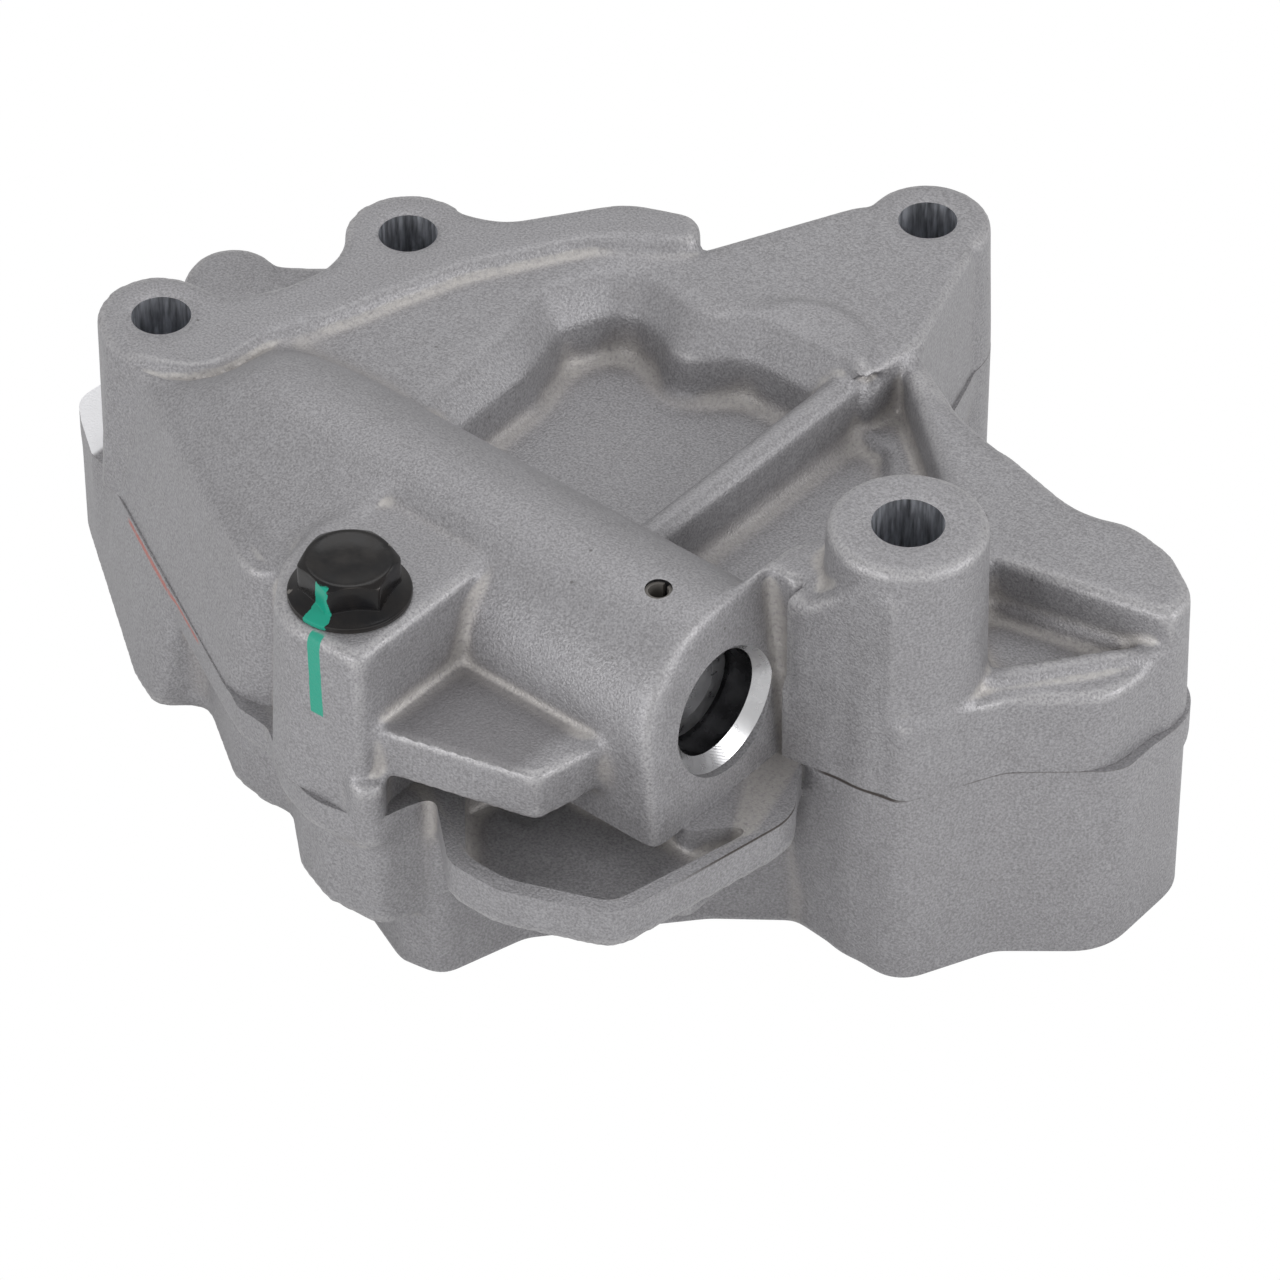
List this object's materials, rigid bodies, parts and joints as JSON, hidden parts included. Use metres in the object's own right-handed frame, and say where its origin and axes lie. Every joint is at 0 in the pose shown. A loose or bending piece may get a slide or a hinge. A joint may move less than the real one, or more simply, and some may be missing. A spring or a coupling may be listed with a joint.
{
  "type": "engine oil pump",
  "caption": "Gear-type engine oil pump in a two-part cast housing, with a side relief valve barrel, mounting bosses and a flange bolt.",
  "frame": {"origin": "drive shaft's axis on the mounting face", "axes": "+X along the relief valve out of its mouth, +Z from the mounting face up to the cover, +Y towards the far corner boss"},
  "size_m": [0.1741, 0.1488, 0.075],
  "materials": {
    "cast_aluminium": "satin",
    "steel": "satin",
    "black_steel": "satin",
    "bronze": "satin",
    "seal_rubber": "matte"
  },
  "bodies": {
    "base": {"pump_cover": "cast_aluminium", "pump_body": "cast_aluminium", "cover_bush": "bronze", "body_bush": "bronze", "idler_shaft": "steel", "relief_shim": "steel", "relief_plug": "steel", "relief_roll_pin": "black_steel", "cover_flange_bolt": "black_steel", "underside_cover_screws": "steel", "cover_dowels": "steel", "inlet_o_ring": "seal_rubber", "outlet_o_ring": "seal_rubber"},
    "drive_gear_set": {"drive_shaft": "steel", "drive_gear": "steel", "drive_gear_key": "steel", "drive_shaft_circlip": "steel"},
    "idler_gear_set": {"idler_gear": "steel", "idler_gear_bush": "bronze"},
    "relief_valve": {"relief_piston": "steel", "relief_spring": "steel"}
  },
  "joints": [
    {"name": "drive_gear_turn", "type": "hinge", "parent": "base", "child": "drive_gear_set", "pos_m": [0, 0, 0.024], "axis": [0, 0, 1], "continuous": true},
    {"name": "idler_gear_turn", "type": "hinge", "parent": "base", "child": "idler_gear_set", "pos_m": [0.036, 0, 0.024], "axis": [0, 0, 1], "continuous": true},
    {"name": "relief_piston_slide", "type": "slide", "parent": "base", "child": "relief_valve", "axis": [1, 0, 0], "range_m": [0, 0.006], "stiffness_N_per_m": 4000, "springref_m": -0.012, "deforming": ["relief_spring"]}
  ],
  "couplings": [
    {"joint": "idler_gear_turn", "follows": "drive_gear_turn", "ratio": -1}
  ]
}
